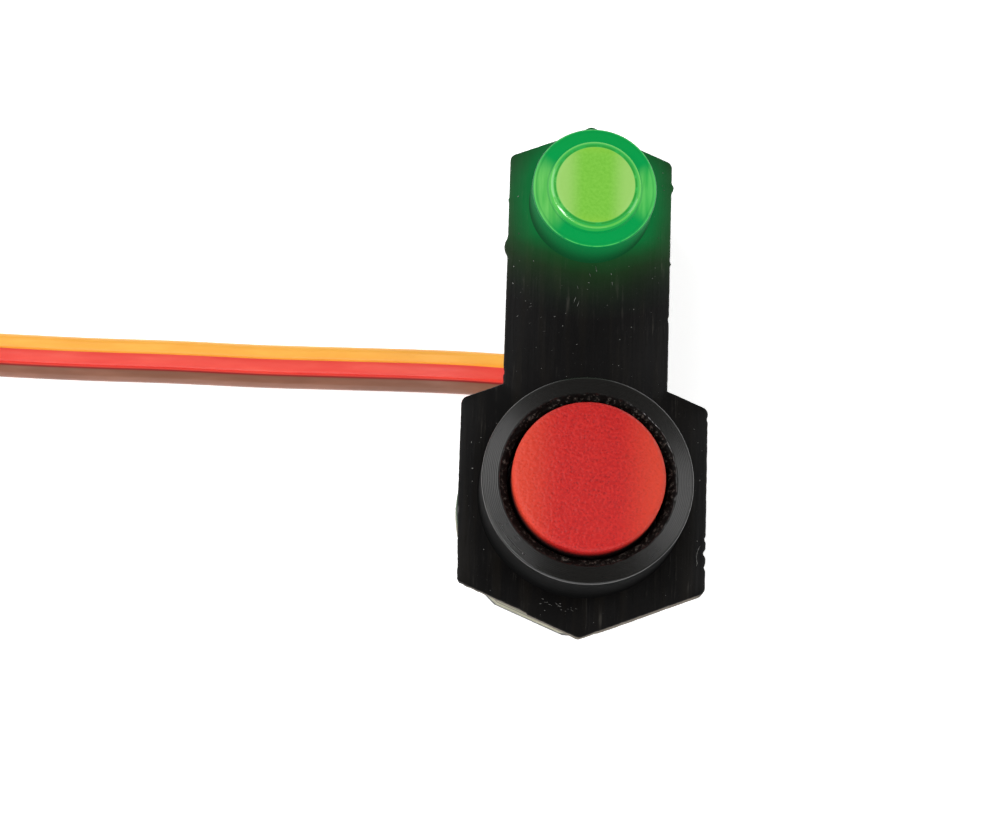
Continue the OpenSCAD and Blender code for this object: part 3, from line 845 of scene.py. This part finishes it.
plate = {
    "thickness": 1.6,
    "rim": 0.16,  # rounding of the plate's edges
    "spacing": 0.16,
    "unevenness": 0.05,
    # marks on the outline: side (0 for the bar's point), place along it, half length, how far it stands out
    "marks": (
        (-1, 19.5, 0.95, 0.26), (1, 24.9, 0.45, 0.2), (1, -3.0, 0.28, -0.12), (1, -4.1, 0.4, -0.17),
        (1, -5.2, 0.3, -0.1), (1, 6.4, 0.3, -0.08), (-1, -1.5, 0.5, -0.07), (1, 14.2, 0.35, -0.08),
        (-1, 9.4, 0.3, -0.08), (1, 18.7, 0.2, 0.07), (-1, 23.3, 0.25, 0.07), (-1, -7.0, 7.0, -0.15),
        (0, -0.1, 1.7, 0.12),
    ),
    "draft": 0.25,  # how far the plate's back edge is drawn in
    "boreRadius": 6.05,
    "sleeveRadius": 3.13,
    "overlap": 0.02,  # how far the skirt and the posts reach into the plate
}

posts = {
    "x": 3.9,
    "below": 0.8,  # from the screws' highest point along the bar to the posts' axes
    "radius": 1.8,
    "hole": 0.83,
    "spare": 0.3,  # room past the screw's tip
    "drillTip": 0.2,
}


def wornOutline(loop):
    # the plate's edge as it was cut: slightly uneven, with small lumps and nicks
    made = []
    for point, inward in zip(loop, drawnIn(loop, 1)):
        toInside = (inward - point).normalized()
        x, y = point / mm
        long = noise.noise(Vector((x * 0.9, y * 0.9, 2.0)))
        short = noise.noise(Vector((x * 2.7, y * 2.7, 7.0)))
        moved = plate["unevenness"] * abs(long * 0.5 + short * 0.5)
        for side, middle, half, depth in plate["marks"]:
            there, at = (x * side > 4, y) if side else (y > lampY / mm + 4, x)
            if there and abs(at - middle) < half:
                swell = math.cos((at - middle) / half * math.pi / 2) ** 2
                moved -= depth * swell * (1 + 0.35 * noise.noise(Vector((x, y * 4, 3.0))))
        made.append(point + toInside * moved * mm)
    return made


def makePlate():
    outer = wornOutline(dense(faceLoops("front_body", plateFront, 1)[0], plate["spacing"] * mm))
    bore = circle(0, 0, plate["boreRadius"] * mm)
    sleeve = circle(0, lampY, plate["sleeveRadius"] * mm)
    back = plateFront - plate["thickness"] * mm
    bm = bmesh.new()
    slab(bm, outer, [bore, sleeve], back, plateFront, plate["rim"] * mm, draft=plate["draft"] * mm)
    made = addPiece("frontPlate", bm, "plate", 30)
    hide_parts("front_body")
    # skirt behind it, and the posts that the screws hold
    foot, top = boardHigh.z, back + plate["overlap"] * mm
    loops = faceLoops("front_body", foot, -1)
    bm = bmesh.new()
    slab(bm, loops[0], [loops[1]], foot, top, 0.05 * mm, 2)
    addPiece("bodySkirt", bm, "housing")
    bm = bmesh.new()
    hole, post = posts["hole"] * mm, posts["radius"] * mm
    tip = screwHigh.z + posts["spare"] * mm
    end = tip + posts["drillTip"] * mm
    profile = [(0, top), (post, top), (post, foot), (hole, foot), (hole, tip), (0, end)]
    for x in (-posts["x"], posts["x"]):
        lathe(bm, profile, x * mm, screwHigh.y - posts["below"] * mm, 48)
    addPiece("screwPosts", bm, "housing")
    print("plate, skirt and posts made")


makePlate()

collar = {
    "bore": 6.05,
    "lip": 0.6,
    "bevel": 0.15,
    "crown": 0.25,
    "grooves": 9,
    "grooveDepth": 0.012,
}


def makeCollar():
    bore, outer = collar["bore"], collarRadius / mm
    top = bodyHigh.z / mm - collar["crown"]
    front = plateFront / mm
    crest = bore + collar["lip"]
    profile = [(bore, front - 0.05), (outer + 0.12, front - 0.05), (outer + 0.04, front + 0.03)]
    profile.append((outer, front + 0.12))
    profile += [(outer, front + (top - collar["bevel"] - front) * k / 3) for k in (1, 2)]
    profile += [(outer, top - collar["bevel"]), (outer - 0.03, top - 0.06), (outer - collar["bevel"], top)]
    start = outer - collar["bevel"]
    for k in range(1, collar["grooves"] * 4):
        t = k / (collar["grooves"] * 4)
        dip = collar["grooveDepth"] * (1 + math.cos(2 * math.pi * (t * collar["grooves"] + 0.5))) / 2
        profile.append((start + (crest - start) * t, top + collar["crown"] * t - dip))
    profile.append((crest, top + collar["crown"]))
    for k in range(1, 9):
        t = k / 8
        profile.append((crest - collar["lip"] * t, top + collar["crown"] * (1 - 2 * t ** 1.4)))
    profile += [(bore, top - collar["crown"] - 0.6), (bore, top - 2.5)]

    def torn(radius, z, a):
        # the inner lip is ragged where the cutter tore it
        onLip = max(0, min(1, (crest + 0.05 - radius / mm) / 0.12)) if z / mm > top - 0.6 else 0
        place = Vector((math.cos(a) * 9, math.sin(a) * 9, radius / mm * 3))
        tear = noise.noise(place) * 0.7 + noise.noise(place * 2.6) * 0.5
        return 0.02 * mm * tear * onLip, (-0.07 + 0.15 * tear) * mm * onLip

    bm = bmesh.new()
    lathe(bm, inMetres(profile), count=360, wobble=torn, ring=True)
    addPiece("buttonCollar", bm, "collar", 50)
    print("collar turned")


makeCollar()

cap = {
    "edge": 0.5,
    "dome": 0.35,
    "wall": 1.1,
    "top": 1.3,
    "socket": 2.75,
    "socketWall": 1.2,
    "socketDepth": 1.0,  # how far its end lies below the cap's ceiling
    "socketFoot": 1.6,  # height of its mouth above the cap's foot
    "chamfer": 0.1,
}


def makeCap():
    radius, top, foot = capHigh.x / mm, capHigh.z / mm, capLow.z / mm
    flat, rim = radius - cap["edge"], top - cap["dome"]
    profile = [(0, top)]
    profile += [(flat * k / 14, top - cap["dome"] * (k / 14) ** 2) for k in range(1, 14)]
    for k in range(13):
        a = math.radians(84 - 7 * k)
        profile.append((flat + cap["edge"] * math.cos(a), rim - cap["edge"] * (1 - math.sin(a))))
    inner = radius - cap["wall"]
    ceiling = rim - cap["top"]
    cut, socket = cap["chamfer"], cap["socket"]
    boss, mouth, end = socket + cap["socketWall"], foot + cap["socketFoot"], ceiling - cap["socketDepth"]
    profile += [(radius, foot + cut), (radius - cut, foot), (inner + cut, foot), (inner, foot + cut)]
    profile += [(inner, ceiling), (boss, ceiling), (boss, mouth), (socket, mouth), (socket, end), (0, end)]

    def settled(r, z, a):
        place = Vector((math.cos(a) * r / mm * 0.4, math.sin(a) * r / mm * 0.4, 5.0))
        return 0, noise.noise(place) * 0.012 * mm if z > ceiling * mm else 0

    bm = bmesh.new()
    lathe(bm, inMetres(profile), count=192, wobble=settled)
    made = addPiece("redButton", bm, "cap", 50, "button")
    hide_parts("button_cap")
    print("cap made")


makeCap()

lens = {
    "step": 3.5,
    "disc": 3.0,
    "shoulder": 4.1,  # above the plate
    "edge": 0.2,
    "sleeve": 3.1,
    "bore": 2.6,
    "boreFoot": 9.9,  # where the bore's domed end starts
    # rims, as distances out from the radius and down from the top
    "discRim": ((-0.06, 0.04), (0, 0.07), (0.05, 0.13), (0.12, 0.12)),
    "stepRim": (
        (-0.25, 0.122), (-0.23, 0.13), (-0.19, 0.149), (-0.14, 0.172), (-0.09, 0.195),
        (-0.05, 0.214), (-0.02, 0.27), (0, 0.36),
    ),
}


def makeLens():
    front, top, foot = plateFront / mm, lensHigh.z / mm, lensLow.z / mm
    shoulder, outer = front + lens["shoulder"], lensRadius / mm
    disc, step, edge, bore = lens["disc"], lens["step"], lens["edge"], lens["bore"]
    profile = [(0, top)]
    profile += [(disc * k / 8, top - 0.04 * (k / 8) ** 2) for k in range(1, 8)]
    profile += [(disc + out, top - down) for out, down in lens["discRim"]]
    profile += [(step + out, top - down) for out, down in lens["stepRim"]]
    profile += [(step, shoulder + 0.1), (step + 0.03, shoulder + 0.03), (step + 0.1, shoulder)]
    width = outer - edge - 0.15 - step - 0.1
    profile += [(step + 0.1 + width * k / 5, shoulder) for k in range(1, 6)]
    for k in range(6):
        a = math.radians(90 - 18 * k)
        profile.append((outer - edge * (1 - math.cos(a)), shoulder - edge * (1 - math.sin(a))))
    profile += [(outer, shoulder - (shoulder - front) * k / 6) for k in range(1, 6)]
    profile += [(outer, front + 0.03), (lens["sleeve"], front), (lens["sleeve"], foot), (bore, foot)]
    for degrees in range(0, 90, 10):
        a = math.radians(degrees)
        profile.append((bore * math.cos(a), lens["boreFoot"] + bore * math.sin(a)))
    profile.append((0, lens["boreFoot"] + bore))

    def wavy(r, z, a):
        place = Vector((math.cos(a) * r / mm * 0.6, math.sin(a) * r / mm * 0.6, z / mm))
        return noise.noise(place) * 0.01 * mm if r > 3.4 * mm else 0, 0

    bm = bmesh.new()
    lathe(bm, inMetres(profile), 0, lampY, 192, wavy)
    made = addPiece("greenLens", bm, "lens")
    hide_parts("led_lens")
    print("lens made")


makeLens()

rear = {
    "wall": 1.3,  # from the floor's inner face to the rim
    "edge": 0.18,
    "overlap": 0.19,  # how far the walls reach into the floor
    "wellRadius": 1.72,
    # a screw's well, turned: radius and height
    "well": (
        (1.72, 0.03), (1.7, 0.0), (0.92, 0.78), (0.9, 0.85), (0.9, 2.3), (1.8, 2.3), (1.8, 0.5), (1.74, 0.2),
    ),
    "spacing": 0.5,
}


def makeRear():
    rim = coverHigh.z
    floorTop = rim - rear["wall"] * mm
    outline = faceLoops("rear_cover", coverLow.z, -1)[0]
    screwX, screwY = posts["x"] * mm, screwHigh.y - posts["below"] * mm
    bm = bmesh.new()
    holes = [circle(x, screwY, rear["wellRadius"] * mm, 64) for x in (-screwX, screwX)]
    slab(bm, dense(outline, rear["spacing"] * mm), holes, coverLow.z, floorTop, rear["edge"] * mm)
    for loop in faceLoops("rear_cover", rim, 1):
        # the outline, and not the screws' holes
        if max(p.x for p in loop) > 5 * mm:
            slab(bm, loop, [], floorTop - rear["overlap"] * mm, rim, 0.04 * mm, 2)
    for x in (-screwX, screwX):
        lathe(bm, inMetres(rear["well"]), x, screwY, 64, ring=True)
    made = addPiece("rearCover", bm, "housing")
    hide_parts("rear_cover")
    loops = faceLoops("circuit_board", boardHigh.z, 1)
    bm = bmesh.new()
    slab(bm, dense(loops[0], rear["spacing"] * mm), loops[1:], boardLow.z, boardHigh.z, 0.04 * mm, 2)
    made = addPiece("controlBoard", bm, "board")
    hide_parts("circuit_board")
    print("rear cover and board made")


makeRear()


class Growth:
    # a geometry node tree with named inputs, grown on a base mesh
    def __init__(self, name, inputs):
        self.tree = bpy.data.node_groups.new(name, "GeometryNodeTree")
        face = self.tree.interface
        face.new_socket("Geometry", in_out="INPUT", socket_type="NodeSocketGeometry")
        face.new_socket("Geometry", in_out="OUTPUT", socket_type="NodeSocketGeometry")
        self.keys = {}
        for label, (kind, value) in inputs.items():
            socket = face.new_socket(label, in_out="INPUT", socket_type=kind)
            socket.default_value = value
            self.keys[label] = socket.identifier
        self.inputs = self.tree.nodes.new("NodeGroupInput")
        self.outputs = self.tree.nodes.new("NodeGroupOutput")

    def node(self, kind, settings=None, values=None, output=0):
        made = self.tree.nodes.new(kind)
        for key, value in (settings or {}).items():
            setattr(made, key, value)
        for key, value in (values or {}).items():
            if isinstance(value, bpy.types.NodeSocket):
                self.tree.links.new(value, made.inputs[key])
            else:
                made.inputs[key].default_value = value
        return made.outputs[output]

    def asked(self, label):
        return self.inputs.outputs[label]

    def chance(self, low, high, seed):
        # a random value or vector for each point
        if isinstance(low, tuple):
            values = {0: low, 1: high, "Seed": seed}
            return self.node("FunctionNodeRandomValue", {"data_type": "FLOAT_VECTOR"}, values)
        values = {2: low, 3: high, "Seed": seed}
        return self.node("FunctionNodeRandomValue", {"data_type": "FLOAT"}, values, 1)

    def sum(self, operation, first, second):
        return self.node("ShaderNodeMath", {"operation": operation}, {0: first, 1: second})

    def scaled(self, vector, size):
        return self.node("ShaderNodeVectorMath", {"operation": "SCALE"}, {0: vector, "Scale": size})

    def scatter(self, points, turn, scale):
        # a small ball at each point, turned and stretched
        ball = self.node("GeometryNodeMeshIcoSphere", None, {"Radius": 1.0, "Subdivisions": 1})
        values = {"Points": points, "Instance": ball, "Rotation": turn, "Scale": scale}
        return self.node("GeometryNodeInstanceOnPoints", None, values)

    def end(self, geometry, finish):
        real = self.node("GeometryNodeRealizeInstances", None, {0: geometry})
        dressed = self.node("GeometryNodeSetMaterial", None, {"Geometry": real, "Material": finish.material})
        self.tree.links.new(dressed, self.outputs.inputs[0])

    def grow(self, mesh, name, **values):
        base = bpy.data.objects.new(name + "Base", mesh)
        bpy.context.scene.collection.objects.link(base)
        modifier = base.modifiers.new("grow", "NODES")
        modifier.node_group = self.tree
        for label, value in values.items():
            modifier[self.keys[label]] = value
        grown = bpy.data.meshes.new_from_object(base.evaluated_get(bpy.context.evaluated_depsgraph_get()))
        base.modifiers.clear()
        bpy.data.objects.remove(base)
        grown.name = name
        return grown


def speckTree():
    # flakes of dust lying on a surface
    made = Growth("dustFlakes", {
        "Density": ("NodeSocketFloat", 1e6),
        "Smallest": ("NodeSocketFloat", 0.00002),
        "Largest": ("NodeSocketFloat", 0.0001),
        "Seed": ("NodeSocketInt", 1),
    })
    seed = made.asked("Seed")
    spread = made.node("GeometryNodeDistributePointsOnFaces", {"distribute_method": "RANDOM"}, {
        "Mesh": made.asked("Geometry"), "Density": made.asked("Density"), "Seed": seed,
    })
    rare = made.sum("POWER", made.chance(0.0, 1.0, seed), 4.0)
    limits = {"Value": rare, 3: made.asked("Smallest"), 4: made.asked("Largest")}
    size = made.node("ShaderNodeMapRange", None, limits)
    scale = made.scaled(made.chance((0.5, 0.5, 0.25), (1.6, 1.0, 0.5), 5), size)
    turn = made.chance((0, 0, 0), (0.3, 0.3, 6.283), 9)
    made.end(made.scatter(spread, turn, scale), finishes["dust"])
    return made


def scratchTree():
    # short pale scores and chips along an arc
    made = Growth("scoreMarks", {
        "Count": ("NodeSocketInt", 20),
        "Longest": ("NodeSocketFloat", 0.0006),
        "Spread": ("NodeSocketFloat", 0.0004),
        "Lean": ("NodeSocketFloat", 0.0),
        "Seed": ("NodeSocketInt", 1),
    })
    seed = made.asked("Seed")
    curve = made.node("GeometryNodeMeshToCurve", None, {"Mesh": made.asked("Geometry")})
    count = {"Curve": curve, "Count": made.asked("Count")}
    points = made.node("GeometryNodeCurveToPoints", {"mode": "COUNT"}, count)
    moved = made.scaled(made.chance((-1, -1, 0), (1, 1, 0), seed), made.asked("Spread"))
    shifted = made.node("GeometryNodeSetPosition", None, {"Geometry": points, "Offset": moved})
    long = made.sum("MULTIPLY", made.chance(0.15, 1.0, seed), made.asked("Longest"))
    scale = made.node("ShaderNodeCombineXYZ", None, {0: long, 1: 0.000022, 2: 0.000012})
    angle = made.sum("ADD", made.chance(-0.5, 0.5, 3), made.asked("Lean"))
    turn = made.node("ShaderNodeCombineXYZ", None, {2: angle})
    made.end(made.scatter(shifted, turn, scale), finishes["dust"])
    return made


dustArea = {
    "spacing": 0.3,
    "fromEdge": 0.4,
    "fromRings": 0.2,
    "capRadius": 3.9,
    "collarRadii": (6.75, 7.7),
    "collarDrop": 0.12,  # from the collar's crest to the middle of its slope
    "capDrop": 0.55,  # as a share of the cap's dome
}
dust = {
    "plate": {"Density": 0.9e6, "Smallest": 0.008 * mm, "Largest": 0.075 * mm, "Seed": 11},
    "cap": {"Density": 0.1e6, "Smallest": 0.008 * mm, "Largest": 0.035 * mm, "Seed": 4},
    "collar": {"Density": 0.4e6, "Smallest": 0.008 * mm, "Largest": 0.05 * mm, "Seed": 21},
}
# arcs of score marks: centre, radius, first and last angle
scores = (
    ((0, 0), 8.9, (250, 268), {
        "Count": 14, "Longest": 0.2 * mm, "Spread": 0.25 * mm, "Lean": 2.7, "Seed": 2,
    }),
    ((1.4, 15.5), 2.0, (60, 200), {
        "Count": 7, "Longest": 0.34 * mm, "Spread": 0.7 * mm, "Lean": 1.5, "Seed": 8,
    }),
    ((-3.4, 14.8), 1.6, (150, 330), {
        "Count": 8, "Longest": 0.16 * mm, "Spread": 0.6 * mm, "Lean": 0.4, "Seed": 5,
    }),
    ((-8.4, 1.0), 2.6, (100, 260), {
        "Count": 10, "Longest": 0.15 * mm, "Spread": 0.3 * mm, "Lean": 1.2, "Seed": 6,
    }),
)


def flatMesh(name, outer, holes, z):
    bm = bmesh.new()
    edges = []
    for loop in [outer, *holes]:
        row = [bm.verts.new((p.x, p.y, z)) for p in loop]
        edges += [bm.edges.new((row[k], row[(k + 1) % len(row)])) for k in range(len(row))]
    bmesh.ops.triangle_fill(bm, use_beauty=True, edges=edges)
    return meshFrom(bm, name, False)


def addDust():
    flakes, marks = speckTree(), scratchTree()
    edge = dense(faceLoops("front_body", plateFront, 1)[0], dustArea["spacing"] * mm)
    outer = drawnIn(edge, dustArea["fromEdge"] * mm)
    clear = dustArea["fromRings"] * mm
    holes = [circle(0, 0, collarRadius + clear), circle(0, lampY, lensRadius + clear)]
    grown = flakes.grow(flatMesh("plateTop", outer, holes, plateFront), "plateDust", **dust["plate"])
    addPiece("plateDust", grown, "dust", 180)
    top = capHigh.z - cap["dome"] * dustArea["capDrop"] * mm
    disc = flatMesh("capTop", circle(0, 0, dustArea["capRadius"] * mm), [], top)
    grown = flakes.grow(disc, "capDust", **dust["cap"])
    addPiece("capDust", grown, "dust", 180, "button")
    inner, outer = (circle(0, 0, radius * mm) for radius in dustArea["collarRadii"])
    ring = flatMesh("collarTop", outer, [inner], bodyHigh.z - dustArea["collarDrop"] * mm)
    grown = flakes.grow(ring, "collarDust", **dust["collar"])
    addPiece("collarDust", grown, "dust", 180)
    for number, ((x, y), radius, (first, last), values) in enumerate(scores):
        mesh = bpy.data.meshes.new("arc")
        turns = [math.radians(first + (last - first) * k / 24) for k in range(25)]
        arc = [((x + radius * math.cos(a)) * mm, (y + radius * math.sin(a)) * mm, plateFront) for a in turns]
        mesh.from_pydata(arc, [(k, k + 1) for k in range(24)], [])
        name = "scoreMarks" + str(number)
        addPiece(name, marks.grow(mesh, name, **values), "dust", 180)
    print("dust and scores scattered")


addDust()

fibre = {
    "points": ((9.05, -3.55), (8.86, -4.0), (8.78, -4.5), (8.84, -4.9), (8.78, -5.15)),
    "radius": 0.034,
}


def addFibre():
    # a curled fibre lying on the plate
    points = smoothRoute(fibre["points"], 6)
    bm = bmesh.new()
    rows = []
    for i, (x, y) in enumerate(points):
        before, after = points[max(0, i - 1)], points[min(len(points) - 1, i + 1)]
        run = Vector((after[0] - before[0], after[1] - before[1], 0)).normalized()
        side = Vector((-run.y, run.x, 0))
        r = fibre["radius"] * (0.35 + 0.65 * math.sin(math.pi * (i + 1) / (len(points) + 1)))
        middle = Vector((x, y, plateFront / mm + r * 0.7))
        angles = [math.radians(a) for a in range(0, 360, 45)]
        around = [side * math.cos(a) + Vector((0, 0, math.sin(a))) for a in angles]
        rows.append([bm.verts.new((middle + outward * r) * mm) for outward in around])
    for a, b in zip(rows, rows[1:]):
        for k in range(8):
            bm.faces.new((a[k], a[(k + 1) % 8], b[(k + 1) % 8], b[k]))
    bm.faces.new(rows[0][::-1])
    bm.faces.new(rows[-1])
    addPiece("looseFibre", bm, "dust", 60)


addFibre()

dressed = {
    "cover_screws": "screws", "switch_plunger": "switch", "switch_cover": "steel", "switch_base": "switch",
    "switch_terminals": "tin", "contact_dome": "steel", "lens_retainer": "retainer", "led_body": "resin",
    "led_cathode": "tin", "led_anode": "tin", "led_chip": "chip", "chip_resistors": "resistor",
    "chip_capacitor": "capacitor", "solder_joints": "solder", "wire_cores": "copper",
    "plug_housing": "plug", "plug_contacts": "brass",
}
for node, finish in dressed.items():
    nodes[node].data.materials.clear()
    nodes[node].data.materials.append(finishes[finish].material)
print("inner parts dressed:", len(dressed))

studio = {
    # softboxes: place, width and height in metres, strength and roll in degrees
    "lights": {
        "leftBox": ((-0.34, 0.22, 0.54), (0.4, 0.4), 1.7, 0),
        "rightBox": ((0.38, 0.08, 0.56), (0.4, 0.4), 1.35, 0),
        "frontBox": ((0.0, -0.6, 0.3), (0.6, 0.3), 1.2, 0),
        "keyStrip": ((-0.378, -0.175, 0.546), (0.42, 0.07), 2.1, 15.1),
    },
    # the sky's brightness low down and overhead, and the heights where it changes
    "horizon": 0.8,
    "zenith": 0.03,
    "fadeLow": 0.2,
    "fadeHigh": 0.75,
    "aim": (0, 0.005, 0),
    "floor": 2.5,  # half its width
    "floorZ": -1e-5,
}


def makeStudio():
    scene = bpy.context.scene
    for name, (place, (width, height), power, roll) in studio["lights"].items():
        data = bpy.data.lights.new(name, "AREA")
        data.shape, data.size, data.size_y, data.energy = "RECTANGLE", width, height, power
        lamp = bpy.data.objects.new(name, data)
        lamp.location = place
        facing = (Vector(studio["aim"]) - Vector(place)).to_track_quat("-Z", "Y")
        lamp.rotation_euler = (facing @ Quaternion((0, 0, 1), math.radians(roll))).to_euler()
        scene.collection.objects.link(lamp)
    world = bpy.data.worlds.new("studio")
    world.use_nodes = True
    tree = world.node_tree
    tree.nodes.clear()
    sky = tree.nodes.new("ShaderNodeBackground")
    out = tree.nodes.new("ShaderNodeOutputWorld")
    place = tree.nodes.new("ShaderNodeTexCoord")
    axes = tree.nodes.new("ShaderNodeSeparateXYZ")
    fade = tree.nodes.new("ShaderNodeMapRange")
    fade.interpolation_type = "SMOOTHSTEP"
    limits = {
        "From Min": studio["fadeLow"], "From Max": studio["fadeHigh"],
        "To Min": studio["horizon"], "To Max": studio["zenith"],
    }
    for key, value in limits.items():
        fade.inputs[key].default_value = value
    tree.links.new(place.outputs["Generated"], axes.inputs[0])
    tree.links.new(axes.outputs[2], fade.inputs["Value"])
    tree.links.new(fade.outputs[0], sky.inputs["Strength"])
    tree.links.new(sky.outputs[0], out.inputs[0])
    scene.world = world
    scene.view_settings.view_transform = "Standard"
    half = studio["floor"]
    corners = [(x * half, y * half, studio["floorZ"]) for x, y in ((-1, -1), (1, -1), (1, 1), (-1, 1))]
    mesh = bpy.data.meshes.new("floor")
    mesh.from_pydata(corners, [], [(0, 1, 2, 3)])
    mesh.materials.append(finishes["floor"].material)
    floor = bpy.data.objects.new("floor", mesh)
    scene.collection.objects.link(floor)
    print("studio lit")


makeStudio()
